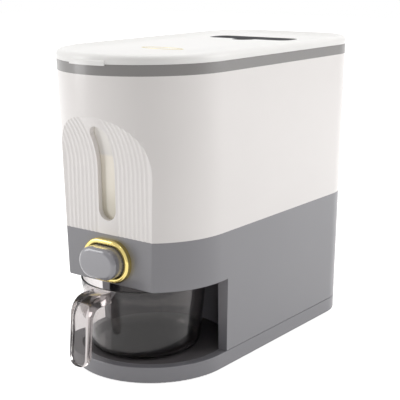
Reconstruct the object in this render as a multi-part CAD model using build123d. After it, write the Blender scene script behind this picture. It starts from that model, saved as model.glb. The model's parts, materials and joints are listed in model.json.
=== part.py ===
from build123d import *
import math
import os

# Rice dispenser. Millimetres. The origin is on the floor under the middle of the base;
# +X is to the right seen from the front, +Y runs to the back, +Z is up. The round end is
# the front, at -Y. Every outer wall leans out a little on the way up.

# ------------------------------------------------------------------ whole object
BASE_WIDTH = 185.3  # at the floor
BASE_LENGTH = 372.5  # at the floor
DRAFT = 1.31  # lean of every outer wall, degrees
BACK_CORNER = 48.5  # radius of the two back corners at the floor
FOOT_STAND = 0.6  # gap under the base plate
BASE_HEIGHT = 18.0
BAY_HEIGHT = 83.7  # base plate to overhang
BROW_HEIGHT = 54.6  # grey overhang above the bay
SHELL_HEIGHT = 171.8
COLLAR_HEIGHT = 11.2
LID_HEIGHT = 9.9
HOUSING_WALL = 2.5
SHELL_WALL = 2.8
FIT = 0.2  # between pieces that slot together and stay
RUN = 0.3  # between pieces that move past each other
BOND = 0.05  # glue line
EDGE_BREAK = 0.4  # small bevel on feet and mat
OVERRUN = 1.0  # room past the end of a stroke or a screw

# ------------------------------------------------------------------ base
BASE_SKIN = 3.0
BASE_EDGE = 1.8  # rounding of the bottom edge
BASE_TOP_CHAMFER = 0.5
MAT_THICK = 2.0
RIB_THICK = 2.0
RIB_STEP = 90.0  # between cross ribs
RIB_RISE = 3.0  # ribs stop this far above the base's bottom edge
FOOT_RADIUS = 9.0
FOOT_THICK = 3.3
FOOT_RIM = 2.0  # base plastic around a foot
FOOT_EDGE = 24.0  # front foot centre to the outer edge
FOOT_SIDE = 37.7  # foot centre to the side wall
FOOT_BACK = 37.8  # back foot centre to the back wall

# ------------------------------------------------------------------ cup bay
JAMB_SETBACK = 11.8  # jambs behind the centre of the round front
JAMB_LAND = 10.6  # jamb and base ring, pocket to outer wall
BROW_EDGE = 2.0  # rounding under the overhang
REBATE_TALL = 0.7  # shadow line where the housing stands on the base
REBATE_DEEP = 1.2

# ------------------------------------------------------------------ scooped face
FACET_INSET = 18.1  # flat face behind the foremost point at the floor
SCOOP_START = 68.0  # curve starts this far above the shell seam
SCOOP_RADIUS = 87.5
FLUTE_COUNT = 8  # each side of the window
FLUTE_FIRST = 15.0  # first groove from the middle
FLUTE_PITCH = 6.0
FLUTE_RADIUS = 7.0
FLUTE_DEPTH = 0.45

# ------------------------------------------------------------------ window
WINDOW_WIDTH = 24.0
WINDOW_HEIGHT = 103.0
WINDOW_RISE = 15.1  # window bottom above the shell seam
WINDOW_LIP = 3.5  # seat around the opening
WINDOW_DEPTH = 5.2  # opening's inner wall
GASKET_THICK = 0.8
LENS_THICK = 2.5

# ------------------------------------------------------------------ button
BUTTON_WIDTH = 52.0
BUTTON_TALL = 34.0
BUTTON_RISE = 26.6  # button centre above the overhang's underside
BUTTON_PROUD = 21.0
BUTTON_EDGE = 5.0
BUTTON_WALL = 2.5
BUTTON_SKIRT = 8.0  # cap behind the flat face
TRAVEL = 12.0
BEZEL_BAND = 6.2  # ring, button to outer edge
BEZEL_PROUD = 7.0
BEZEL_SLEEVE = 1.7  # sleeve wall through the flat face
BEZEL_TAIL = 4.0  # sleeve behind the wall
BEZEL_ROUND = 2.8
STEM_PLUG = 5.0
GUIDE_RADIUS = 3.0
GUIDE_REACH = 23.0
GUIDE_SPREAD = 17.0  # guide rod from the middle
TONGUE_WIDTH = 20.0
TONGUE_THICK = 3.5
TONGUE_REACH = 9.0
TONGUE_SCREW_SPREAD = 6.0
CAP_SCREW_SPREAD = 6.0
CAP_SCREW_RISE = 3.5  # above the button's centre
CAP_SCREW_LONG = 15.0
SPRING_WIRE = 0.7
SPRING_GAP = 0.4  # rod to coil
SPRING_TURNS = 6

# ------------------------------------------------------------------ outlet and gate
PASSAGE_WIDTH = 48.0
PASSAGE_DEPTH = 10.0
THROAT_WIDTH = 56.0
THROAT_DEPTH = 30.0
THROAT_HEIGHT = 12.0
GATE_WALL = 2.0
GATE_HEIGHT = 35.2  # chute body above the overhang floor
GATE_SIDE = 6.0  # chute body beyond the throat
GATE_LEAD = 27.0  # chute body in front of the outlet centre
GATE_TRAIL = 29.0  # and behind it
SHUTTER_THICK = 3.0
SHUTTER_RISE = 14.2  # shutter above the overhang floor
SHUTTER_SIDE = 3.7  # shutter beyond the passage
SHUTTER_TAIL = 8.0
EAR_RADIUS = 4.5
EAR_THICK = 3.0
EAR_RISE = 6.0
EAR_OUT = 1.0  # ear beyond the chute body
SEAL_THICK = 1.5
SEAL_BAND = 3.0

# ------------------------------------------------------------------ hopper
FUNNEL_WALL = 3.0
FUNNEL_BACK_SLOPE = 20.0  # degrees from level
FUNNEL_SIDE_SLOPE = 30.0
FUNNEL_FRONT_SLOPE = 40.0
TONGUE_DROP = 6.0  # spigots of shell and collar below their seams
SHELL_BAND = 4.0  # thick foot of the shell
SPIGOT_WALL = 2.0

# ------------------------------------------------------------------ screws
SCREW_RADIUS = 1.5
SCREW_HEAD = 2.9
SCREW_HEAD_TALL = 1.8
SCREW_SLACK = 0.3
SCREW_DRIVE = 3.5  # cross in the head
SCREW_SLOT = 0.8
SCREW_DRIVE_DEEP = 0.8
THREAD_GAP = 0.04
BOSS_WALL = 3.0
BASE_SCREW_EDGE = 6.0  # screw to outer wall
BASE_SCREW_BACK = 40.0  # first screws behind the jambs
BASE_SCREW_LONG = 24.0
BASE_BOSS = 30.0  # boss height in the lower housing

# ------------------------------------------------------------------ cup
CUP_RADIUS = 70.6  # at the rim
CUP_FRONT_GAP = 5.0  # rim to the base's front edge
CUP_GAP_BELOW = 0.3
CUP_GAP_ABOVE = 2.5
CUP_LEAN = 6.1  # degrees
CUP_WALL = 2.4
CUP_FLOOR = 3.0
CUP_HEEL = 11.0  # rounding at the foot
CUP_LIP = 0.95  # rounding of the rim
HANDLE_TOP_DROP = 1.8  # below the rim
HANDLE_THICK = 9.0
HANDLE_ARM = 13.5
HANDLE_WIDTH = 25.0
HANDLE_REACH = 33.0  # rim to the grip's outer face at shoulder height
HANDLE_FLARE = 7.0  # the grip's foot stands this much further out
HANDLE_BEND = 19.5  # outer bend radius
HANDLE_BEND_IN = 12.0
HANDLE_CLEAR = 5.0  # foot above the base plate
HANDLE_EDGE = 2.2
HANDLE_TONGUE = 10.5  # corner rounding of the free end, seen from the front

# ------------------------------------------------------------------ collar and hinge
COLLAR_INSET = 7.0  # opening from the outer wall
HINGE_OUT = 6.0  # hinge axis behind the back wall
HINGE_RADIUS = 4.6
PIN_RADIUS = 2.0
PIN_GAP = 0.05
KNUCKLE_HALF = 15.4  # lid knuckle, half width
LUG_WIDTH = 12.0
PIN_HEAD_RADIUS = 3.0
PIN_HEAD = 1.0
SEAM_GAP = 0.2  # under the closed lid

# ------------------------------------------------------------------ lid
LID_EDGE = 5.8  # rounding of the top edge
LID_WALL = 2.8
LID_SKIN = 2.4
DISH_INSET = 9.0
DISH_DEPTH = 3.4
DISH_SLOPE = 6.0  # width of the dish's sloping rim
TAB_WIDTH = 48.0
TAB_PROUD = 1.5
TAB_DROP = 1.3
TAB_BEVEL = 1.2
TAB_RISE = 4.0
LINER_SKIN = 2.5
PLUG_INSET = 1.2  # plug inside the collar opening
PLUG_WALL = 2.5
PLUG_DEPTH = 7.0  # plug below the lid seam
GASKET_GROOVE = 1.0
GASKET_TALL = 3.0
GASKET_DROP = 1.6
GASKET_GAP = 0.35
GRIP_WIDTH = 118.0
GRIP_LENGTH = 36.0
GRIP_BACK = 101.0  # grip centre behind the origin
GRIP_CORNER = 14.0
GRIP_THUMB = 15.0  # radius of the thumb notch in the front edge
GRIP_WALL = 2.0
GRIP_DEEP = 12.0
GRIP_FLANGE = 4.0
INLAY_FRONT = 73.0  # inlay centre in front of the origin
INLAY_WIDTH = 58.0
INLAY_TALL = 18.0
INLAY_LINE = 2.2
INLAY_THICK = 0.6
INLAY_PROUD = 0.2

# ------------------------------------------------------------------ levels and places that follow
LEAN = math.tan(math.radians(DRAFT))
BASE_TOP = FOOT_STAND + BASE_HEIGHT
BAY_TOP = BASE_TOP + BAY_HEIGHT
SEAM = BAY_TOP + BROW_HEIGHT
SHELL_TOP = SEAM + SHELL_HEIGHT
COLLAR_TOP = SHELL_TOP + COLLAR_HEIGHT
LID_FOOT = COLLAR_TOP + SEAM_GAP
LID_TOP = LID_FOOT + LID_HEIGHT
DISH_Z = LID_TOP - DISH_DEPTH
LID_CEILING = DISH_Z - LID_SKIN
BROW_FLOOR = BAY_TOP + HOUSING_WALL
FRONT_CENTRE = -(BASE_LENGTH - BASE_WIDTH) / 2
FACET_Y = -BASE_LENGTH / 2 + FACET_INSET
JAMB_Y = FRONT_CENTRE + JAMB_SETBACK
SCOOP_Z = SEAM + SCOOP_START
FAR = BASE_LENGTH + BASE_WIDTH  # longer than anything a cut goes through


def half_width(z):
    return BASE_WIDTH / 2 + LEAN * z


def half_length(z):
    return BASE_LENGTH / 2 + LEAN * z


POCKET_RADIUS = half_width(BASE_TOP) - JAMB_LAND
CUP_Y = -half_length(BASE_TOP) + CUP_FRONT_GAP + CUP_RADIUS
CUP_FOOT = BASE_TOP + CUP_GAP_BELOW
CUP_RIM = BAY_TOP - CUP_GAP_ABOVE
BUTTON_Z = BAY_TOP + BUTTON_RISE
CAP_FRONT = FACET_Y - BUTTON_PROUD
CAP_BACK = FACET_Y + BUTTON_SKIRT
GATE_FRONT = CUP_Y - GATE_LEAD
GATE_BACK = CUP_Y + GATE_TRAIL
GATE_TOP = BROW_FLOOR + GATE_HEIGHT
THROAT_FOOT = GATE_TOP - THROAT_HEIGHT
SHUTTER_Z = BROW_FLOOR + SHUTTER_RISE
SHUTTER_HALF = PASSAGE_WIDTH / 2 + SHUTTER_SIDE
SHUTTER_FRONT = CAP_BACK + RUN
SHUTTER_END = CUP_Y + PASSAGE_DEPTH / 2 + SHUTTER_TAIL
FUNNEL_FOOT = GATE_TOP + SEAL_THICK
WINDOW_Z = SEAM + WINDOW_RISE + WINDOW_HEIGHT / 2
LENS_FRONT = WINDOW_DEPTH + GASKET_THICK
HINGE_Y = half_length(COLLAR_TOP) + HINGE_OUT
HINGE_Z = LID_FOOT
BOSS_RADIUS = SCREW_RADIUS + BOSS_WALL
HEAD_POCKET = SCREW_HEAD + SCREW_SLACK


# ------------------------------------------------------------------ shapes used by several pieces
def outline(z, inset=0.0):
    """The body's outline at a height: half-round front, straight sides, round back corners."""
    half = half_width(z) - inset
    back = half_length(z) - inset
    corner = BACK_CORNER + LEAN * z - inset
    cut = corner * (1 - math.sqrt(0.5))
    edges = [
        ThreePointArc((half, FRONT_CENTRE), (0, FRONT_CENTRE - half), (-half, FRONT_CENTRE)),
        Line((-half, FRONT_CENTRE), (-half, back - corner)),
        ThreePointArc((-half, back - corner), (-half + cut, back - cut), (-half + corner, back)),
        Line((-half + corner, back), (half - corner, back)),
        ThreePointArc((half - corner, back), (half - cut, back - cut), (half, back - corner)),
        Line((half, back - corner), (half, FRONT_CENTRE)),
    ]
    return Pos(0, 0, z) * make_face(Wire(edges))


def tapered(low, high, inset=0.0):
    """A length of the leaning body, drawn in by inset all round."""
    return loft([outline(low, inset), outline(high, inset)], ruled=True)


def rod(radius, low, high, x=0.0, y=0.0):
    """An upright round bar."""
    return Pos(x, y, (low + high) / 2) * Cylinder(radius, high - low)


def rod_y(radius, front, back, x, z):
    """A round bar along Y."""
    return Pos(x, (front + back) / 2, z) * Rot(90, 0, 0) * Cylinder(radius, back - front)


def rod_x(radius, left, right, y, z):
    """A round bar along X."""
    return Pos((left + right) / 2, y, z) * Rot(0, 90, 0) * Cylinder(radius, right - left)


def block(x, y, z):
    """A box from three (low, high) pairs."""
    middle = [(low + high) / 2 for low, high in (x, y, z)]
    return Pos(*middle) * Box(x[1] - x[0], y[1] - y[0], z[1] - z[0])


def wide(half):
    return (-half, half)


def capsule(width, tall, front, back, z):
    """A bar along Y with a round-ended section, lying or standing on end."""
    section = SlotOverall(max(width, tall), min(width, tall), rotation=90 if tall > width else 0)
    face = Plane((0, front, z), x_dir=(1, 0, 0), z_dir=(0, 1, 0)) * section
    return extrude(face, back - front)


def scoop(offset=0.0):
    """All that lies in front of the flat and scooped face, moved back by offset."""
    reach = 2 * SCOOP_RADIUS
    face = FACET_Y + offset
    flat = block(wide(FAR / 2), (face - reach, face), (0, SCOOP_Z))
    curve = rod_x(SCOOP_RADIUS + offset, -FAR / 2, FAR / 2, FACET_Y - SCOOP_RADIUS, SCOOP_Z)
    return flat + curve


def bay():
    """The cup bay: open to the front and sides, with a round pocket behind."""
    mouth = block(wide(FAR / 2), (-FAR, JAMB_Y), (BASE_TOP - 1, BAY_TOP))
    return mouth + rod(POCKET_RADIUS, BASE_TOP - 1, BAY_TOP, 0, FRONT_CENTRE)


def slab(width, depth, low, high):
    """A rectangular piece of the chute over the cup's centre."""
    return block(wide(width / 2), (CUP_Y - depth / 2, CUP_Y + depth / 2), (low, high))


def base_screw_places():
    """Six screws along the two side walls."""
    x = half_width(BASE_TOP) - BASE_SCREW_EDGE
    first = JAMB_Y + BASE_SCREW_BACK
    last = half_length(BASE_TOP) - BACK_CORNER
    return [(side * x, y) for side in (-1, 1) for y in (first, (first + last) / 2, last)]


def foot_places():
    """Four feet near the edge and one in the middle under the load."""
    x = half_width(0) - FOOT_SIDE
    front = FRONT_CENTRE - math.sqrt((half_width(0) - FOOT_EDGE) ** 2 - x**2)
    back = half_length(0) - FOOT_BACK
    return [(side * x, y) for side in (-1, 1) for y in (front, back)] + [(0, 0)]


def gate_ear_places():
    x = THROAT_WIDTH / 2 + GATE_SIDE + EAR_RADIUS + EAR_OUT
    return [(side * x, y) for side in (-1, 1) for y in (GATE_FRONT + EAR_RADIUS, GATE_BACK - EAR_RADIUS)]


def screw(length):
    """A pan-head screw standing on its head's seat at z = 0, with the shank below."""
    arm, slot = wide(SCREW_DRIVE / 2), wide(SCREW_SLOT / 2)
    deep = (SCREW_HEAD_TALL - SCREW_DRIVE_DEEP, SCREW_HEAD_TALL + 1)
    drive = block(arm, slot, deep) + block(slot, arm, deep)
    return rod(SCREW_HEAD, 0, SCREW_HEAD_TALL) + rod(SCREW_RADIUS, -length, 0) - drive


# ------------------------------------------------------------------ base
def base_plate():
    low = FOOT_STAND
    ceiling = BASE_TOP - BASE_SKIN
    body = tapered(low, BASE_TOP)
    body = fillet(body.edges().group_by(Axis.Z)[0], BASE_EDGE)
    body = chamfer(body.edges().group_by(Axis.Z)[-1], BASE_TOP_CHAMFER)
    body -= tapered(low - 1, ceiling, HOUSING_WALL)
    inside = tapered(low, ceiling, HOUSING_WALL - FIT)
    ribs = block(wide(RIB_THICK / 2), wide(FAR / 2), (low + RIB_RISE, ceiling))
    count = int(half_length(0) // RIB_STEP)
    for i in range(-count, count + 1):
        y = i * RIB_STEP
        ribs += block(wide(FAR / 2), (y - RIB_THICK / 2, y + RIB_THICK / 2), (low + RIB_RISE, ceiling))
    body += ribs & inside
    body += rod(POCKET_RADIUS + BASE_SKIN, ceiling - MAT_THICK, BASE_TOP - MAT_THICK, 0, FRONT_CENTRE)
    body -= rod(POCKET_RADIUS, BASE_TOP - MAT_THICK, BASE_TOP + 1, 0, FRONT_CENTRE)
    for x, y in foot_places():
        body += rod(FOOT_RADIUS + FOOT_RIM, low, ceiling, x, y)
        body -= rod(FOOT_RADIUS + FIT, low - 1, FOOT_THICK, x, y)
    for x, y in base_screw_places():
        head_top = low + RIB_RISE + SCREW_HEAD_TALL
        body += rod(HEAD_POCKET + HOUSING_WALL, low + RIB_RISE, ceiling, x, y) & inside
        body -= rod(HEAD_POCKET, low - 1, head_top, x, y)
        body -= rod(SCREW_RADIUS + SCREW_SLACK, low, BASE_TOP + 1, x, y)
    return body


def base_feet():
    feet = [rod(FOOT_RADIUS, 0, FOOT_THICK, x, y) for x, y in foot_places()]
    return [chamfer(foot.edges().group_by(Axis.Z)[0], EDGE_BREAK) for foot in feet]


def base_screws():
    seat = FOOT_STAND + RIB_RISE + SCREW_HEAD_TALL
    return [Pos(x, y, seat) * Rot(180, 0, 0) * screw(BASE_SCREW_LONG) for x, y in base_screw_places()]


def cup_mat():
    mat = rod(POCKET_RADIUS - FIT, BASE_TOP - MAT_THICK, BASE_TOP, 0, FRONT_CENTRE)
    return chamfer(mat.edges().group_by(Axis.Z)[-1], EDGE_BREAK)


# ------------------------------------------------------------------ lower housing
def brow_edges(body):
    """The outer edges under the overhang, from jamb to jamb."""
    found = []
    for edge in body.edges().filter_by(lambda e: abs(e.center().Z - BAY_TOP) < 0.01):
        middle = edge.center()
        outer = edge.length > 1 and middle.Y < JAMB_Y - 1
        if outer:
            found.append(edge)
    return found


def jambs():
    """The two flat posts beside the bay's mouth."""
    return block(wide(FAR / 2), (JAMB_Y, JAMB_Y + HOUSING_WALL), (BASE_TOP - 2, BAY_TOP)) - bay()


def lower_housing():
    body = tapered(BASE_TOP, SEAM) - scoop() - bay()
    body = fillet(brow_edges(body), BROW_EDGE)
    body -= tapered(BASE_TOP - 1, SEAM + 1, HOUSING_WALL) - scoop(HOUSING_WALL) - jambs()
    line = BASE_TOP + REBATE_TALL
    body -= tapered(BASE_TOP - 1, line, -1) - tapered(BASE_TOP - 2, line + 1, REBATE_DEEP)
    inside = tapered(BASE_TOP, SEAM, HOUSING_WALL - FIT)
    for x, y in base_screw_places():
        body += rod(BOSS_RADIUS, BASE_TOP, BASE_TOP + BASE_BOSS, x, y) & inside
        body -= rod(SCREW_RADIUS + THREAD_GAP, BASE_TOP - 1, BASE_TOP + BASE_SCREW_LONG, x, y)
    hole = 2 * (RUN + BEZEL_SLEEVE + FIT)
    wall = (FACET_Y - 1, FACET_Y + HOUSING_WALL + 1)
    return body - capsule(BUTTON_WIDTH + hole, BUTTON_TALL + hole, *wall, BUTTON_Z)


def bay_liner():
    """The ceiling over the cup and the round wall behind it, set into the housing."""
    snug = HOUSING_WALL + FIT
    front = block(wide(FAR / 2), (-FAR, JAMB_Y + HOUSING_WALL), (BAY_TOP, BROW_FLOOR))
    body = front + rod(POCKET_RADIUS + HOUSING_WALL, BAY_TOP, BROW_FLOOR, 0, FRONT_CENTRE)
    wall = rod(POCKET_RADIUS + HOUSING_WALL, BASE_TOP, BROW_FLOOR, 0, FRONT_CENTRE)
    wall -= rod(POCKET_RADIUS, BASE_TOP - 1, BAY_TOP, 0, FRONT_CENTRE)
    body += wall - block(wide(FAR / 2), (-FAR, JAMB_Y + snug), (BASE_TOP - 1, BAY_TOP))
    body &= tapered(BASE_TOP - 1, BROW_FLOOR + 1, snug) - scoop(snug)
    for x, y in gate_ear_places():
        body += rod(EAR_RADIUS, BROW_FLOOR - 1, BROW_FLOOR + EAR_RISE, x, y)
        body -= rod(SCREW_RADIUS + THREAD_GAP, BROW_FLOOR, BROW_FLOOR + EAR_RISE + 1, x, y)
    spigot = PASSAGE_WIDTH + 2 * (GATE_WALL + FIT), PASSAGE_DEPTH + 2 * (GATE_WALL + FIT)
    return body - slab(*spigot, BAY_TOP - 1, BROW_FLOOR + 1)


# ------------------------------------------------------------------ gate over the cup
def gate_housing():
    half = THROAT_WIDTH / 2 + GATE_SIDE
    body = block(wide(half), (GATE_FRONT, GATE_BACK), (BROW_FLOOR, GATE_TOP))
    body += slab(PASSAGE_WIDTH + 2 * GATE_WALL, PASSAGE_DEPTH + 2 * GATE_WALL, BAY_TOP, BROW_FLOOR)
    low, high = BROW_FLOOR + EAR_RISE, BROW_FLOOR + EAR_RISE + EAR_THICK
    for x, y in gate_ear_places():
        inner = math.copysign(half - 1, x)
        arm = (min(x, inner), max(x, inner))
        body += rod(EAR_RADIUS, low, high, x, y) + block(arm, (y - EAR_RADIUS, y + EAR_RADIUS), (low, high))
        body -= rod(EAR_RADIUS + RUN, BROW_FLOOR - 1, low, x, y)
        body -= rod(SCREW_RADIUS + SCREW_SLACK, low - 1, high + 1, x, y)
        body -= rod(HEAD_POCKET, high, high + 2 * EAR_THICK, x, y)
    mouth = Pos(0, CUP_Y, GATE_TOP) * Rectangle(THROAT_WIDTH, THROAT_DEPTH)
    neck = Pos(0, CUP_Y, THROAT_FOOT) * Rectangle(PASSAGE_WIDTH, PASSAGE_DEPTH)
    body -= loft([neck, mouth], ruled=True)
    body -= slab(PASSAGE_WIDTH, PASSAGE_DEPTH, BAY_TOP - 1, THROAT_FOOT)
    guide = (GATE_FRONT - 1, SHUTTER_END + TRAVEL + RUN)
    low, high = SHUTTER_Z - RUN, SHUTTER_Z + SHUTTER_THICK + RUN
    body -= block(wide(SHUTTER_HALF + RUN), guide, (low, high))
    for side in (-1, 1):
        reach = CAP_BACK + GUIDE_REACH + TRAVEL + OVERRUN
        body -= rod_y(GUIDE_RADIUS + RUN, GATE_FRONT - 1, reach, side * GUIDE_SPREAD, BUTTON_Z)
    return body


def gate_screws():
    seat = EAR_RISE + EAR_THICK
    return [Pos(x, y, BROW_FLOOR + seat) * screw(seat - OVERRUN) for x, y in gate_ear_places()]


def outlet_seal():
    outer = slab(THROAT_WIDTH + 2 * SEAL_BAND, THROAT_DEPTH + 2 * SEAL_BAND, GATE_TOP, FUNNEL_FOOT)
    return outer - slab(THROAT_WIDTH, THROAT_DEPTH, GATE_TOP - 1, FUNNEL_FOOT + 1)


# ------------------------------------------------------------------ hopper and body shell
def rice_space(drop=0.0):
    """The four-sided space above the sloped hopper floor, lowered by drop."""
    low = FUNNEL_FOOT + FUNNEL_WALL - drop
    rise = half_length(SHELL_TOP) * 2 * math.tan(math.radians(FUNNEL_BACK_SLOPE))
    side = THROAT_WIDTH / 2 + rise / math.tan(math.radians(FUNNEL_SIDE_SLOPE))
    front = CUP_Y - THROAT_DEPTH / 2 - rise / math.tan(math.radians(FUNNEL_FRONT_SLOPE))
    back = CUP_Y + THROAT_DEPTH / 2 + rise / math.tan(math.radians(FUNNEL_BACK_SLOPE))
    top = Pos(0, (front + back) / 2, low + rise) * Rectangle(2 * side, back - front)
    return loft([Pos(0, CUP_Y, low) * Rectangle(THROAT_WIDTH, THROAT_DEPTH), top], ruled=True)


def hopper_funnel():
    inset = SHELL_WALL + RUN
    lowest = SEAM - TONGUE_DROP
    inside = tapered(FUNNEL_FOOT, lowest, HOUSING_WALL + RUN) - scoop(HOUSING_WALL + RUN)
    inside += tapered(lowest, SEAM + SHELL_BAND, HOUSING_WALL + 2 * FIT + SPIGOT_WALL + RUN)
    inside += tapered(SEAM + SHELL_BAND, SHELL_TOP, inset)
    inside -= scoop(HOUSING_WALL + 2 * FIT + SPIGOT_WALL + RUN)
    floor = (inside & rice_space(FUNNEL_WALL)) - rice_space()
    outer = THROAT_WIDTH + 2 * FUNNEL_WALL, THROAT_DEPTH + 2 * FUNNEL_WALL
    floor += slab(*outer, FUNNEL_FOOT, FUNNEL_FOOT + 2 * FUNNEL_WALL) - rice_space()
    floor -= slab(THROAT_WIDTH, THROAT_DEPTH, FUNNEL_FOOT - 1, FUNNEL_FOOT + FUNNEL_WALL + 1)
    seat = 2 * (WINDOW_LIP + RUN)
    back = FACET_Y + LENS_FRONT + LENS_THICK + RUN
    floor -= capsule(WINDOW_WIDTH + seat, WINDOW_HEIGHT + seat, FACET_Y - SCOOP_RADIUS, back, WINDOW_Z)
    return floor


def window_layer(start, end, grow):
    """A round-ended layer behind the scooped face, between two depths."""
    return (scoop(end) - scoop(start)) & window_bar(grow)


def window_bar(grow=0.0):
    """A bar through the face with the window's round-ended outline."""
    width, tall = WINDOW_WIDTH + 2 * grow, WINDOW_HEIGHT + 2 * grow
    return capsule(width, tall, FACET_Y - SCOOP_RADIUS, FACET_Y + 2 * LENS_FRONT, WINDOW_Z)


def flute_places():
    """Where the upright grooves stand, on both sides of the window."""
    return [side * (FLUTE_FIRST + i * FLUTE_PITCH) for i in range(FLUTE_COUNT) for side in (-1, 1)]


def fluted(body):
    """Cut shallow grooves that run up the flat face and follow the scoop."""
    sunk = FLUTE_RADIUS - FLUTE_DEPTH
    bent = Rot(0, 90, 0) * Torus(SCOOP_RADIUS - sunk, FLUTE_RADIUS)
    for x in flute_places():
        body -= Pos(x, FACET_Y - SCOOP_RADIUS, SCOOP_Z) * bent
    for x in flute_places():
        body -= rod(FLUTE_RADIUS, SEAM - 1, SCOOP_Z, x, FACET_Y - sunk)
    return body


def body_shell():
    body = tapered(SEAM, SHELL_TOP) - scoop()
    spigot = HOUSING_WALL + FIT
    body -= tapered(SEAM - 1, SHELL_TOP + 1, SHELL_WALL) - scoop(SHELL_WALL)
    foot = tapered(SEAM - TONGUE_DROP, SEAM + SHELL_BAND, spigot) - scoop(spigot)
    inner = spigot + SPIGOT_WALL
    foot -= tapered(SEAM - TONGUE_DROP - 1, SEAM + SHELL_BAND + 1, inner) - scoop(inner)
    body += foot
    body += window_layer(0, WINDOW_DEPTH, WINDOW_LIP)
    body -= window_bar()
    return fluted(body)


def window_gasket():
    return window_layer(WINDOW_DEPTH + BOND, LENS_FRONT, WINDOW_LIP - FIT) - window_bar()


def window_lens():
    return window_layer(LENS_FRONT + BOND, LENS_FRONT + LENS_THICK, WINDOW_LIP - FIT)


# ------------------------------------------------------------------ button
def button_bezel():
    grow = 2 * (RUN + BEZEL_BAND)
    ring = capsule(BUTTON_WIDTH + grow, BUTTON_TALL + grow, FACET_Y - BEZEL_PROUD, FACET_Y, BUTTON_Z)
    sleeve = 2 * (RUN + BEZEL_SLEEVE)
    tail = FACET_Y + HOUSING_WALL + BEZEL_TAIL
    ring += capsule(BUTTON_WIDTH + sleeve, BUTTON_TALL + sleeve, FACET_Y, tail, BUTTON_Z)
    bore = 2 * RUN
    ring -= capsule(BUTTON_WIDTH + bore, BUTTON_TALL + bore, FACET_Y - BEZEL_PROUD - 1, tail + 1, BUTTON_Z)
    return fillet(ring.edges().group_by(Axis.Y)[0], BEZEL_ROUND)


def button_cap():
    body = capsule(BUTTON_WIDTH, BUTTON_TALL, CAP_FRONT, CAP_BACK, BUTTON_Z)
    body = fillet(body.edges().group_by(Axis.Y)[0], BUTTON_EDGE)
    wall = 2 * BUTTON_WALL
    body -= capsule(BUTTON_WIDTH - wall, BUTTON_TALL - wall, CAP_FRONT + BUTTON_WALL, CAP_BACK + 1, BUTTON_Z)
    for x, z in cap_screw_places():
        body += rod_y(BOSS_RADIUS, CAP_FRONT + BUTTON_WALL / 2, CAP_BACK - STEM_PLUG, x, z)
        body -= rod_y(SCREW_RADIUS + THREAD_GAP, CAP_FRONT + 2 * BUTTON_WALL, CAP_BACK, x, z)
    return body


def cap_screws():
    """Two screws from behind through the stem into the cap."""
    turn = Rot(-90, 0, 0)
    return [Pos(x, CAP_BACK, z) * turn * screw(CAP_SCREW_LONG) for x, z in cap_screw_places()]


def cap_screw_places():
    return [(side * CAP_SCREW_SPREAD, BUTTON_Z + CAP_SCREW_RISE) for side in (-1, 1)]


def tongue_screw_places():
    y = CAP_BACK + TONGUE_REACH / 2
    return [(side * TONGUE_SCREW_SPREAD, y) for side in (-1, 1)]


def button_stem():
    slim = 2 * (BUTTON_WALL + FIT)
    body = capsule(BUTTON_WIDTH - slim, BUTTON_TALL - slim, CAP_BACK - STEM_PLUG, CAP_BACK, BUTTON_Z)
    for side in (-1, 1):
        body += rod_y(GUIDE_RADIUS, CAP_BACK - 1, CAP_BACK + GUIDE_REACH, side * GUIDE_SPREAD, BUTTON_Z)
    for x, z in cap_screw_places():
        body -= rod_y(SCREW_RADIUS + SCREW_SLACK, CAP_BACK - STEM_PLUG - 1, CAP_BACK + 1, x, z)
    low = SHUTTER_Z + SHUTTER_THICK
    body += block(wide(TONGUE_WIDTH / 2), (CAP_BACK - 1, CAP_BACK + TONGUE_REACH), (low, low + TONGUE_THICK))
    for x, y in tongue_screw_places():
        body -= rod(SCREW_RADIUS + SCREW_SLACK, low - 1, low + TONGUE_THICK + 1, x, y)
    return body


def shutter_plate():
    y = (SHUTTER_FRONT, SHUTTER_END)
    body = block(wide(SHUTTER_HALF), y, (SHUTTER_Z, SHUTTER_Z + SHUTTER_THICK))
    port = CUP_Y - PASSAGE_DEPTH / 2 - TRAVEL, CUP_Y + PASSAGE_DEPTH / 2 - TRAVEL
    body -= block(wide(PASSAGE_WIDTH / 2), port, (SHUTTER_Z - 1, SHUTTER_Z + SHUTTER_THICK + 1))
    for x, yy in tongue_screw_places():
        body -= rod(SCREW_RADIUS + THREAD_GAP, SHUTTER_Z - 1, SHUTTER_Z + SHUTTER_THICK + 1, x, yy)
    return body


def shutter_screws():
    seat = SHUTTER_THICK + TONGUE_THICK
    return [Pos(x, y, SHUTTER_Z + seat) * screw(seat) for x, y in tongue_screw_places()]


def return_spring(side):
    """One compression spring round a guide rod, between the stem and the chute."""
    radius = GUIDE_RADIUS + SPRING_GAP + SPRING_WIRE
    start = CAP_BACK + SPRING_WIRE + RUN
    length = GATE_FRONT - RUN - SPRING_WIRE - start
    place = Pos(side * GUIDE_SPREAD, start, BUTTON_Z)
    coil = place * Helix(length / SPRING_TURNS, length, radius, direction=(0, 1, 0), lefthand=side < 0)
    section = Plane(coil @ 0, z_dir=coil % 0) * Circle(SPRING_WIRE)
    return sweep(section, path=coil, is_frenet=True)


def return_springs():
    return [return_spring(-1), return_spring(1)]


# ------------------------------------------------------------------ cup
def cup_profile():
    """Half section of the bowl, in its own radius and height."""
    slope = math.tan(math.radians(CUP_LEAN))
    height = CUP_RIM - CUP_FOOT
    foot = CUP_RADIUS - slope * height
    floor_radius = foot + slope * CUP_FLOOR - CUP_WALL
    corners = [
        (0, CUP_FOOT),
        (foot, CUP_FOOT),
        (CUP_RADIUS, CUP_RIM),
        (CUP_RADIUS - CUP_WALL, CUP_RIM),
        (floor_radius, CUP_FOOT + CUP_FLOOR),
        (0, CUP_FOOT + CUP_FLOOR),
    ]
    return Polyline(*corners, close=True)


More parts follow.
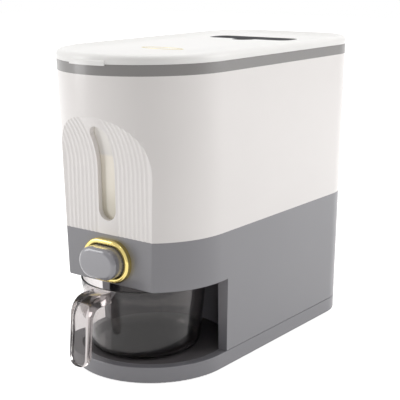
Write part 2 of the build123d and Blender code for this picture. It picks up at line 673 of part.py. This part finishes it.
def cup_bowl():
    face = make_face(Plane.XZ * cup_profile())

    def corners_at(z):
        return [v for v in face.vertices() if abs(v.Z - z) < 0.01 and v.X > CUP_HEEL]

    face = fillet(corners_at(CUP_FOOT)[-1:], CUP_HEEL)
    face = fillet(corners_at(CUP_FOOT + CUP_FLOOR)[-1:], CUP_HEEL - CUP_WALL)
    face = fillet(corners_at(CUP_RIM), CUP_LIP)
    return Pos(0, CUP_Y, 0) * revolve(face, Axis.Z)


def cup_handle():
    """A hook: an arm out from the rim that bends down into a grip with a free end."""
    top = CUP_RIM - HANDLE_TOP_DROP
    root = CUP_Y - CUP_RADIUS + CUP_WALL * 3
    shoulder = CUP_Y - CUP_RADIUS - HANDLE_REACH
    foot = shoulder - HANDLE_FLARE
    low = BASE_TOP + HANDLE_CLEAR
    hook = [
        (root, top),
        (shoulder, top),
        (foot, low),
        (foot + HANDLE_THICK, low),
        (shoulder + HANDLE_THICK, top - HANDLE_ARM),
        (root, top - HANDLE_ARM),
    ]
    face = make_face(Polyline(*hook, close=True))

    def near(place):
        return [v for v in face.vertices() if math.hypot(v.X - place[0], v.Y - place[1]) < 0.01]

    face = fillet(near(hook[1]), HANDLE_BEND)
    face = fillet(near(hook[4]), HANDLE_BEND_IN)
    solid = extrude(Plane((-HANDLE_WIDTH / 2, 0, 0), x_dir=(0, 1, 0), z_dir=(1, 0, 0)) * face, HANDLE_WIDTH)
    shape = block(wide(HANDLE_WIDTH / 2), (foot - 1, root + 1), (low, top + HANDLE_TONGUE))
    corners = shape.edges().filter_by(Axis.Y).sort_by(Axis.Z)[:2]
    solid &= fillet(corners, HANDLE_TONGUE)
    sides = solid.edges().filter_by(lambda e: abs(abs(e.center().X) - HANDLE_WIDTH / 2) < 0.01)
    solid = fillet(sides, HANDLE_EDGE)
    slope = math.tan(math.radians(CUP_LEAN))
    height = CUP_RIM - CUP_FOOT
    bowl = Cone(CUP_RADIUS - slope * height + BOND, CUP_RADIUS + BOND, height)
    return solid - Pos(0, CUP_Y, (CUP_FOOT + CUP_RIM) / 2) * bowl


# ------------------------------------------------------------------ collar and hinge
def hinge_lug(side):
    """One ear on the collar for the pin."""
    left = KNUCKLE_HALF + FIT * 2
    x = (side * left, side * (left + LUG_WIDTH))
    x = (min(x), max(x))
    wall = half_length(SHELL_TOP)
    ear = rod_x(HINGE_RADIUS, *x, HINGE_Y, HINGE_Z)
    web = block(x, (wall - 2, HINGE_Y), (HINGE_Z - HINGE_RADIUS, HINGE_Z - 2 * SEAM_GAP))
    return ear + web


def collar_ring():
    body = tapered(SHELL_TOP, COLLAR_TOP)
    body += tapered(SHELL_TOP - TONGUE_DROP, SHELL_TOP, SHELL_WALL + FIT)
    for side in (-1, 1):
        body += hinge_lug(side)
    body -= tapered(SHELL_TOP - TONGUE_DROP - 1, COLLAR_TOP + 1, COLLAR_INSET)
    return body - rod_x(PIN_RADIUS + PIN_GAP, -FAR / 2, FAR / 2, HINGE_Y, HINGE_Z)


def hinge_pin():
    half = KNUCKLE_HALF + 2 * FIT + LUG_WIDTH + FIT
    pin = rod_x(PIN_RADIUS, -half, half, HINGE_Y, HINGE_Z)
    for side in (-1, 1):
        x = sorted((side * half, side * (half + PIN_HEAD)))
        pin += rod_x(PIN_HEAD_RADIUS, *x, HINGE_Y, HINGE_Z)
    return pin


# ------------------------------------------------------------------ lid
def grip_outline(z, grow=0.0):
    """The grip's outline: a long round-cornered slot with a thumb notch in its front edge."""
    width, length = GRIP_WIDTH + 2 * grow, GRIP_LENGTH + 2 * grow
    slot = RectangleRounded(width, length, GRIP_CORNER + grow)
    notch = Pos(0, -GRIP_LENGTH / 2) * Circle(GRIP_THUMB + grow)
    return Pos(0, GRIP_BACK, z) * (slot + notch)


def grip_bar(low, high, grow=0.0):
    return extrude(grip_outline(low, grow), high - low)


def lid_tab():
    """A lip for lifting the lid, over the front of the band."""
    low = LID_FOOT - TAB_DROP
    high = LID_FOOT + TAB_RISE
    outer = tapered(low, high, -TAB_PROUD)
    outer = chamfer(outer.edges().group_by(Axis.Z)[-1], TAB_BEVEL)
    gap = tapered(low - 1, LID_FOOT, -RUN) + tapered(LID_FOOT, high + 1, LID_WALL / 2)
    reach = (-FAR, FRONT_CENTRE)
    return (outer - gap) & block(wide(TAB_WIDTH / 2), reach, (low - 1, high + 1))


def lid_cover():
    body = tapered(LID_FOOT, LID_TOP)
    body = fillet(body.edges().group_by(Axis.Z)[-1], LID_EDGE)
    body -= loft([outline(DISH_Z, DISH_INSET + DISH_SLOPE), outline(LID_TOP + 0.01, DISH_INSET)], ruled=True)
    body -= tapered(LID_FOOT - 1, LID_CEILING, LID_WALL)
    body += lid_tab()
    body -= grip_bar(LID_CEILING - 1, LID_TOP, FIT)
    knuckle = rod_x(HINGE_RADIUS, -KNUCKLE_HALF, KNUCKLE_HALF, HINGE_Y, HINGE_Z)
    wall = half_length(LID_FOOT)
    knuckle += block(wide(KNUCKLE_HALF), (wall - 1, HINGE_Y), (HINGE_Z + SEAM_GAP, HINGE_Z + HINGE_RADIUS))
    body += knuckle
    body -= rod_x(PIN_RADIUS + PIN_GAP, -FAR / 2, FAR / 2, HINGE_Y, HINGE_Z)
    return body - inlay_bar(DISH_Z - INLAY_THICK + INLAY_PROUD, DISH_Z + 1, FIT / 2)


def lid_liner():
    low = LID_CEILING - LINER_SKIN
    body = tapered(low, LID_CEILING, LID_WALL + RUN)
    wall = COLLAR_INSET + PLUG_INSET
    foot = LID_FOOT - PLUG_DEPTH
    body += tapered(foot, low, wall) - tapered(foot - 1, low + 1, wall + PLUG_WALL)
    high = LID_FOOT - GASKET_DROP
    levels = (high - GASKET_TALL, high)
    body -= tapered(*levels, wall - 1) - tapered(*levels, wall + GASKET_GROOVE)
    return body - grip_bar(low - 1, LID_CEILING + 1, GRIP_FLANGE + FIT)


def lid_gasket():
    high = LID_FOOT - GASKET_DROP - BOND
    low = high - GASKET_TALL + 2 * BOND
    outer = tapered(low, high, COLLAR_INSET + GASKET_GAP)
    return outer - tapered(low - 1, high + 1, COLLAR_INSET + PLUG_INSET + GASKET_GROOVE - BOND)


def grip_well():
    low = DISH_Z - GRIP_DEEP
    body = grip_bar(low, DISH_Z)
    body += grip_bar(LID_CEILING - LINER_SKIN, LID_CEILING, GRIP_FLANGE)
    return body - grip_bar(low + GRIP_WALL, DISH_Z + 1, -GRIP_WALL)


def inlay_bar(low, high, grow=0.0):
    """A plain oval ring let into the dish."""
    place = Pos(0, -INLAY_FRONT, low)
    outer = Ellipse(INLAY_WIDTH / 2 + grow, INLAY_TALL / 2 + grow)
    inner = Ellipse(INLAY_WIDTH / 2 - INLAY_LINE - grow, INLAY_TALL / 2 - INLAY_LINE - grow)
    return extrude(place * (outer - inner), high - low)


def lid_inlay():
    low = DISH_Z - INLAY_THICK + INLAY_PROUD
    return inlay_bar(low, low + INLAY_THICK)


# ------------------------------------------------------------------ one file for each piece
PIECES = [
    base_plate, base_feet, base_screws, cup_mat, lower_housing, bay_liner, gate_housing, gate_screws,
    outlet_seal, hopper_funnel, body_shell, window_gasket, window_lens, button_bezel, collar_ring, hinge_pin,
    button_cap, button_stem, cap_screws, shutter_plate, shutter_screws, return_springs, cup_bowl, cup_handle,
    lid_cover, lid_liner, lid_gasket, grip_well, lid_inlay,
]


def solids_of(shape):
    """Every solid in a shape or in a list of shapes."""
    if isinstance(shape, (list, tuple)):
        return [solid for item in shape for solid in item.solids()]
    return list(shape.solids())


os.makedirs("parts", exist_ok=True)
for piece in PIECES:
    name = piece.__name__
    shape = Compound(children=solids_of(piece()))
    shape.label = name
    export_step(shape, f"parts/{name}.step")
    print(f"{name:16s} {len(shape.solids())} solids, {shape.volume / 1000:9.2f} cm3")
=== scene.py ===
import json
import math

import bpy
from mathutils import Matrix, Vector


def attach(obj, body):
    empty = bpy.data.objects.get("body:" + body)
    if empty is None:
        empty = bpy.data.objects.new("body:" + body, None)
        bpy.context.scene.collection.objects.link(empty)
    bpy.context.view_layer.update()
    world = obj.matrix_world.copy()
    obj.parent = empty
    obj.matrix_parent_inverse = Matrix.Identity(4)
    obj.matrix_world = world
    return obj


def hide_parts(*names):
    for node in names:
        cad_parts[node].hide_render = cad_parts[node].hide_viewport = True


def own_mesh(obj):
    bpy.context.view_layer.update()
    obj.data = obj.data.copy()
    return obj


MM = 0.001
WHITE = (1, 1, 1, 1)

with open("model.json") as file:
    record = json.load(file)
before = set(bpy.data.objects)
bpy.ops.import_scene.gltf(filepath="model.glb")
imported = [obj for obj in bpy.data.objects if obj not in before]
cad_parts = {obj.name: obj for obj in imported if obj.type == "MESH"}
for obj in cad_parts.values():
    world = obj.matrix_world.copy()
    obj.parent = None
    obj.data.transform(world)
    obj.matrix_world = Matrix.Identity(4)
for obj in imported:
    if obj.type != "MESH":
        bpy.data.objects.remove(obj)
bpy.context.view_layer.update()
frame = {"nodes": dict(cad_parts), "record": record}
nodes = frame["nodes"]

# ------------------------------------------------------------------ camera
CLIP_START = 0.05
CLIP_END = 20
SENSOR = 36.0
# Worked out once from the photograph's outlines: metres and degrees, and the lens in mm.
CAMERA_PLACE = Vector((0.7032, -0.9187, 0.4393))
CAMERA_TURN = math.radians(37.659)
CAMERA_PITCH = math.radians(13.488)
CAMERA_ROLL = math.radians(-0.447)
CAMERA_LENS = 89.83


def make_camera():
    """The photograph's camera."""
    data = bpy.data.cameras.new("camera")
    camera = bpy.data.objects.new("camera", data)
    bpy.context.scene.collection.objects.link(camera)
    turn, pitch, roll = CAMERA_TURN, CAMERA_PITCH, CAMERA_ROLL
    flat = math.cos(pitch)
    ahead = Vector((-math.sin(turn) * flat, math.cos(turn) * flat, -math.sin(pitch)))
    level = Vector((math.cos(turn), math.sin(turn), 0))
    upright = level.cross(ahead)
    right = level * math.cos(roll) + upright * math.sin(roll)
    up = upright * math.cos(roll) - level * math.sin(roll)
    turned = Matrix((right, up, -ahead)).transposed().to_4x4()
    camera.matrix_world = Matrix.Translation(CAMERA_PLACE) @ turned
    data.sensor_width = SENSOR
    data.lens = CAMERA_LENS
    data.clip_start = CLIP_START
    data.clip_end = CLIP_END
    bpy.context.scene.camera = camera


# ------------------------------------------------------------------ light, floor and background
WORLD_TINT = (1, 0.99, 0.98, 1)
WORLD_LIGHT = 0.5

# name, place, aim, width, height, watts
LAMPS = [
    ("key_left", (-0.85, -0.8, 0.55), (0, -0.1, 0.2), 0.4, 0.8, 4.0),
    ("key_right", (1.5, 1.1, 0.8), (0, 0.05, 0.2), 0.8, 1.2, 12),
    ("overhead", (0.05, 0.15, 1.7), (0, 0, 0.3), 1.3, 1.3, 10),
]

FLOOR_REACH = 6.0
FLOOR_COLOUR = (0.86, 0.86, 0.86, 1)
# How strongly the floor glows near the middle and far out, and the distances between which it rises.
FLOOR_GLOW = 0.7
FLOOR_GLOW_FAR = 1.0
GLOW_RISES_AT = 0.5
GLOW_FULL_AT = 1.1


def empty_tree(owner):
    """The owner's node tree, with nothing in it."""
    owner.use_nodes = True
    owner.node_tree.nodes.clear()
    return owner.node_tree


def seen_directly(tree):
    """1 for what the camera, gloss and clear plastic see, and 0 for the light that falls on things."""
    path = tree.nodes.new("ShaderNodeLightPath")
    total = path.outputs["Is Camera Ray"]
    for name in ("Is Glossy Ray", "Is Transmission Ray"):
        either = tree.nodes.new("ShaderNodeMath")
        either.operation = "MAXIMUM"
        tree.links.new(total, either.inputs[0])
        tree.links.new(path.outputs[name], either.inputs[1])
        total = either.outputs[0]
    return total


def show_or_light(tree, light, seen, out):
    """Gives the output one shader for lighting things and another for being seen directly."""
    mix = tree.nodes.new("ShaderNodeMixShader")
    tree.links.new(seen_directly(tree), mix.inputs[0])
    tree.links.new(light.outputs[0], mix.inputs[1])
    tree.links.new(seen.outputs[0], mix.inputs[2])
    tree.links.new(mix.outputs[0], out.inputs["Surface"])


def make_world():
    """Plain studio surround; what the camera, gloss and clear plastic see of it is white."""
    world = bpy.data.worlds.new("studio")
    bpy.context.scene.world = world
    tree = empty_tree(world)
    out = tree.nodes.new("ShaderNodeOutputWorld")
    light = tree.nodes.new("ShaderNodeBackground")
    light.inputs["Color"].default_value = WORLD_TINT
    light.inputs["Strength"].default_value = WORLD_LIGHT
    seen = tree.nodes.new("ShaderNodeBackground")
    seen.inputs["Color"].default_value = WHITE
    seen.inputs["Strength"].default_value = 1.0
    show_or_light(tree, light, seen, out)


def make_lamps():
    """Soft rectangular lamps that the camera doesn't see."""
    for name, place, aim, width, height, watts in LAMPS:
        data = bpy.data.lights.new(name, "AREA")
        data.shape = "RECTANGLE"
        data.size, data.size_y = width, height
        data.energy = watts
        lamp = bpy.data.objects.new(name, data)
        bpy.context.scene.collection.objects.link(lamp)
        lamp.location = place
        toward = Vector(aim) - Vector(place)
        lamp.rotation_mode = "QUATERNION"
        lamp.rotation_quaternion = toward.to_track_quat("-Z", "Y")
        lamp.visible_camera = False


def floor_material():
    """A diffuse floor that also glows white where it is seen directly, and more so far out."""
    material = bpy.data.materials.new("floor_white")
    tree = empty_tree(material)
    out = tree.nodes.new("ShaderNodeOutputMaterial")
    lit = tree.nodes.new("ShaderNodeBsdfDiffuse")
    lit.inputs["Color"].default_value = FLOOR_COLOUR
    glow = tree.nodes.new("ShaderNodeEmission")
    glow.inputs["Color"].default_value = WHITE
    place = tree.nodes.new("ShaderNodeTexCoord")
    reach = tree.nodes.new("ShaderNodeVectorMath")
    reach.operation = "LENGTH"
    tree.links.new(place.outputs["Object"], reach.inputs[0])
    rise = tree.nodes.new("ShaderNodeMapRange")
    rise.inputs["From Min"].default_value = GLOW_RISES_AT
    rise.inputs["From Max"].default_value = GLOW_FULL_AT
    rise.inputs["To Min"].default_value = FLOOR_GLOW
    rise.inputs["To Max"].default_value = FLOOR_GLOW_FAR
    tree.links.new(reach.outputs["Value"], rise.inputs["Value"])
    tree.links.new(rise.outputs["Result"], glow.inputs["Strength"])
    both = tree.nodes.new("ShaderNodeAddShader")
    tree.links.new(lit.outputs[0], both.inputs[0])
    tree.links.new(glow.outputs[0], both.inputs[1])
    show_or_light(tree, lit, both, out)
    return material


def make_floor():
    """A flat floor at the height of 0, which is stage and not part of the object."""
    mesh = bpy.data.meshes.new("floor")
    side = FLOOR_REACH
    corners = [(-side, -side, 0), (side, -side, 0), (side, side, 0), (-side, side, 0)]
    mesh.from_pydata(corners, [], [(0, 1, 2, 3)])
    floor = bpy.data.objects.new("floor", mesh)
    bpy.context.scene.collection.objects.link(floor)
    floor.data.materials.append(floor_material())


# ------------------------------------------------------------------ how materials are made
PLASTIC_IOR = 1.5
COAT_ROUGHNESS = 0.12
CLEAR_ROUGHNESS = 0.012
# How strongly the grain shows, and how deep the metal's is in mm.
GRAIN_STRENGTH = 0.35
METAL_GRAIN_STRENGTH = 0.1
METAL_GRAIN_DEPTH = 0.01
# Noise cells to the metre, and the steps of finer noise in them.
PLASTIC_ROUGHNESS_CELLS = 9.0
PLASTIC_SHADE_CELLS = 14.0
CLEAR_ROUGHNESS_CELLS = 40.0
METAL_ROUGHNESS_CELLS = 60.0
METAL_GRAIN_CELLS = 900.0
GRAIN_DETAIL = 2.0
DRIFT_DETAIL = 4.0
# How far a plastic's roughness varies to either side.
PLASTIC_DRIFT = 0.04
# The same for the others, as a share of their roughness, and for a plastic's colour.
METAL_DRIFT = 0.3
CLEAR_DRIFT = 0.4
SHADE = 0.02


def linear(code):
    """The linear colour, with full alpha, of an sRGB hex code."""
    parts = [int(code[i:i + 2], 16) / 255 for i in (0, 2, 4)]
    return (*[c / 12.92 if c <= 0.04045 else ((c + 0.055) / 1.055) ** 2.4 for c in parts], 1)


def shaded(colour, factor):
    """The colour made darker or lighter by the factor, no brighter than white."""
    return (*[min(1, c * factor) for c in colour[:3]], 1)


def new_material(name):
    """A material with its node tree and its body shader."""
    material = bpy.data.materials.new(name)
    material.use_nodes = True
    return material, material.node_tree, material.node_tree.nodes["Principled BSDF"]


def noise(tree, cells, detail):
    """Noise in object space."""
    place = tree.nodes.new("ShaderNodeTexCoord")
    texture = tree.nodes.new("ShaderNodeTexNoise")
    texture.inputs["Scale"].default_value = cells
    texture.inputs["Detail"].default_value = detail
    tree.links.new(place.outputs["Object"], texture.inputs["Vector"])
    return texture.outputs["Fac"]


def grain(tree, cells, strength, depth):
    """The normal of a fine grain, its depth in mm."""
    bump = tree.nodes.new("ShaderNodeBump")
    bump.inputs["Strength"].default_value = strength
    bump.inputs["Distance"].default_value = depth * MM
    tree.links.new(noise(tree, cells, GRAIN_DETAIL), bump.inputs["Height"])
    return bump.outputs["Normal"]


def spread(tree, cells, low, high):
    """A number that drifts gently between low and high over the surface."""
    fit = tree.nodes.new("ShaderNodeMapRange")
    fit.inputs["To Min"].default_value = low
    fit.inputs["To Max"].default_value = high
    tree.links.new(noise(tree, cells, DRIFT_DETAIL), fit.inputs["Value"])
    return fit.outputs["Result"]


def moulded(name, roughness, grain_size=0.6, grain_depth=0.02, coat=0.0, sheen=0.5):
    """Moulded plastic still without its colour: a fine grain in mm, and roughness that drifts."""
    material, tree, body = new_material(name)
    body.inputs["IOR"].default_value = PLASTIC_IOR
    body.inputs["Specular IOR Level"].default_value = sheen
    body.inputs["Coat Weight"].default_value = coat
    body.inputs["Coat Roughness"].default_value = COAT_ROUGHNESS
    normal = grain(tree, 1 / (grain_size * MM), GRAIN_STRENGTH, grain_depth)
    tree.links.new(normal, body.inputs["Normal"])
    low, high = roughness - PLASTIC_DRIFT, roughness + PLASTIC_DRIFT
    tree.links.new(spread(tree, PLASTIC_ROUGHNESS_CELLS, low, high), body.inputs["Roughness"])
    return material, tree, body


def plastic(name, code, roughness, **finish):
    """Moulded plastic with a colour that varies very slightly."""
    material, tree, body = moulded(name, roughness, **finish)
    tint = tree.nodes.new("ShaderNodeMix")
    tint.data_type = "RGBA"
    tint.inputs["A"].default_value = shaded(linear(code), 1 - SHADE)
    tint.inputs["B"].default_value = shaded(linear(code), 1 + SHADE)
    tree.links.new(spread(tree, PLASTIC_SHADE_CELLS, 0.0, 1.0), tint.inputs["Factor"])
    tree.links.new(tint.outputs["Result"], body.inputs["Base Color"])
    return material


def metal(name, code, roughness, brush=0.0):
    """Metal with roughness that drifts; brush makes its grain stronger."""
    material, tree, body = new_material(name)
    body.inputs["Metallic"].default_value = 1.0
    body.inputs["Base Color"].default_value = linear(code)
    low, high = roughness * (1 - METAL_DRIFT), roughness * (1 + METAL_DRIFT)
    tree.links.new(spread(tree, METAL_ROUGHNESS_CELLS, low, high), body.inputs["Roughness"])
    normal = grain(tree, METAL_GRAIN_CELLS, METAL_GRAIN_STRENGTH + brush, METAL_GRAIN_DEPTH)
    tree.links.new(normal, body.inputs["Normal"])
    return material


def smoky(name, code, smoke_code, thickness, ior):
    """See-through plastic whose tint deepens with the way through it; thickness in mm."""
    material, tree, body = new_material(name)
    body.inputs["Base Color"].default_value = linear(code)
    body.inputs["Transmission Weight"].default_value = 1.0
    body.inputs["IOR"].default_value = ior
    low, high = CLEAR_ROUGHNESS * (1 - CLEAR_DRIFT), CLEAR_ROUGHNESS * (1 + CLEAR_DRIFT)
    tree.links.new(spread(tree, CLEAR_ROUGHNESS_CELLS, low, high), body.inputs["Roughness"])
    smoke = tree.nodes.new("ShaderNodeVolumeAbsorption")
    smoke.inputs["Color"].default_value = linear(smoke_code)
    smoke.inputs["Density"].default_value = 1 / (thickness * MM)
    tree.links.new(smoke.outputs[0], tree.nodes["Material Output"].inputs["Volume"])
    return material


def painted_window(name, stops, roughness, coat):
    """The level window, painted with bands of cream over its height: what stands behind it, with
    painted light for the inside lit through the shell.
    """
    material, tree, body = moulded(name, roughness, coat=coat)
    place = tree.nodes.new("ShaderNodeTexCoord")
    parts = tree.nodes.new("ShaderNodeSeparateXYZ")
    tree.links.new(place.outputs["Object"], parts.inputs[0])
    height = tree.nodes.new("ShaderNodeMapRange")
    heights = [vertex.co.z for vertex in nodes["window_lens"].data.vertices]
    height.inputs["From Min"].default_value = min(heights)
    height.inputs["From Max"].default_value = max(heights)
    tree.links.new(parts.outputs["Z"], height.inputs["Value"])
    ramp = tree.nodes.new("ShaderNodeValToRGB")
    tree.links.new(height.outputs["Result"], ramp.inputs["Fac"])
    marks = ramp.color_ramp.elements
    for mark, (share, code) in zip(marks, (stops[0], stops[-1])):
        mark.position = share
        mark.color = linear(code)
    for share, code in stops[1:-1]:
        marks.new(share).color = linear(code)
    tree.links.new(ramp.outputs["Color"], body.inputs["Base Color"])
    return material


# ------------------------------------------------------------------ the materials
# The height up the window from 0 to 1, and the colour there: cream for what stands behind it, its
# brightness painted light for the inside lit through the shell.
PAINTED_WINDOW_STOPS = [
    (0.0, "C0B9A8"),
    (0.18, "D0C9B8"),
    (0.34, "E6DFD0"),
    (0.65, "F0E9DC"),
    (0.68, "E4E0DA"),
    (1.0, "F4F1EC"),
]


def make_materials():
    """One material for each slot of the record, by the slot's name."""
    return {
        "white_shell": plastic("white_shell", "E9E5E3", 0.30, coat=0.15),
        "white_lid": plastic("white_lid", "F0EFED", 0.34, coat=0.1),
        "grey_housing": plastic("grey_housing", "6B6A6F", 0.38, coat=0.25, sheen=1.0),
        # A little darker than the housing grey: partly the liner's own grey, partly painted shade for
        # the bay's pocket.
        "grey_inner": plastic("grey_inner", "65646A", 0.5),
        "grey_base": plastic("grey_base", "6C6B70", 0.40, coat=0.2, sheen=0.9),
        "grey_band": plastic("grey_band", "6C6967", 0.34, coat=0.3, sheen=0.9),
        "grip_grey": plastic("grip_grey", "6A6A6C", 0.5),
        "inner_white": plastic("inner_white", "E2DACB", 0.45),
        "button_grey": plastic("button_grey", "7E7D83", 0.26, coat=0.9, sheen=0.9),
        "gold": metal("gold", "DAC67E", 0.15),
        "steel": metal("steel", "B8B8B8", 0.3, brush=0.2),
        "silicone": plastic("silicone", "DAD6CC", 0.6),
        "foot_rubber": plastic("foot_rubber", "2A2A2B", 0.8),
        "mat_rubber": plastic("mat_rubber", "484547", 0.7, grain_size=1.2, grain_depth=0.08),
        # The window's colour is painted: the inside behind it, lit through the shell.
        "clear_lens": painted_window("clear_lens", PAINTED_WINDOW_STOPS, 0.12, coat=0.6),
        # These refract less than real clear plastic, which showed a grey veil and hard glints.
        "smoky_clear": smoky("smoky_clear", "F6F3F2", "C3C0C0", thickness=5.0, ior=1.38),
        "clear_handle": smoky("clear_handle", "F8F5F4", "C8C4C4", thickness=9.0, ior=1.27),
    }


# ------------------------------------------------------------------ finish of the CAD nodes
SMOOTH_UP_TO = math.radians(32)
WELD_DISTANCE = 0.002 * MM


def smooth_group():
    """Geometry nodes that shade smooth and keep the edges that turn by more than SMOOTH_UP_TO."""
    group = bpy.data.node_groups.new("smooth_by_angle", "GeometryNodeTree")
    group.interface.new_socket("Geometry", in_out="INPUT", socket_type="NodeSocketGeometry")
    group.interface.new_socket("Geometry", in_out="OUTPUT", socket_type="NodeSocketGeometry")
    enter = group.nodes.new("NodeGroupInput")
    leave = group.nodes.new("NodeGroupOutput")
    edge = group.nodes.new("GeometryNodeInputMeshEdgeAngle")
    compare = group.nodes.new("FunctionNodeCompare")
    compare.data_type = "FLOAT"
    compare.operation = "LESS_EQUAL"
    compare.inputs["B"].default_value = SMOOTH_UP_TO
    faces = group.nodes.new("GeometryNodeSetShadeSmooth")
    faces.domain = "FACE"
    edges = group.nodes.new("GeometryNodeSetShadeSmooth")
    edges.domain = "EDGE"
    link = group.links.new
    link(enter.outputs[0], faces.inputs["Geometry"])
    link(faces.outputs[0], edges.inputs["Geometry"])
    link(edge.outputs["Unsigned Angle"], compare.inputs["A"])
    link(compare.outputs["Result"], edges.inputs["Shade Smooth"])
    link(edges.outputs[0], leave.inputs[0])
    return group


def finish_surface(piece, material, group):
    """The piece's one material, its doubled edge points joined, and soft shading between its edges."""
    piece.data.materials.clear()
    piece.data.materials.append(material)
    weld = piece.modifiers.new("weld", "WELD")
    weld.merge_threshold = WELD_DISTANCE
    piece.modifiers.new("smooth", "NODES").node_group = group


def make_springs():
    """The return springs as a piece of their own, hung on the housing in place of their CAD node."""
    solid = nodes["return_springs"]
    springs = bpy.data.objects.new("button_springs", solid.data.copy())
    bpy.context.scene.collection.objects.link(springs)
    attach(springs, "housing")
    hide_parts("return_springs")
    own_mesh(springs)
    return springs


def dress(materials):
    """Gives every CAD node, and the piece that replaces return_springs, its slot's material."""
    slots = {row["node"]: row["material_slot"] for row in frame["record"]["subparts"]}
    group = smooth_group()
    for name, piece in nodes.items():
        finish_surface(piece, materials[slots[name]], group)
    finish_surface(make_springs(), materials[slots["return_springs"]], group)


make_camera()
make_world()
make_lamps()
make_floor()
dress(make_materials())
bpy.context.scene.view_settings.view_transform = "Standard"
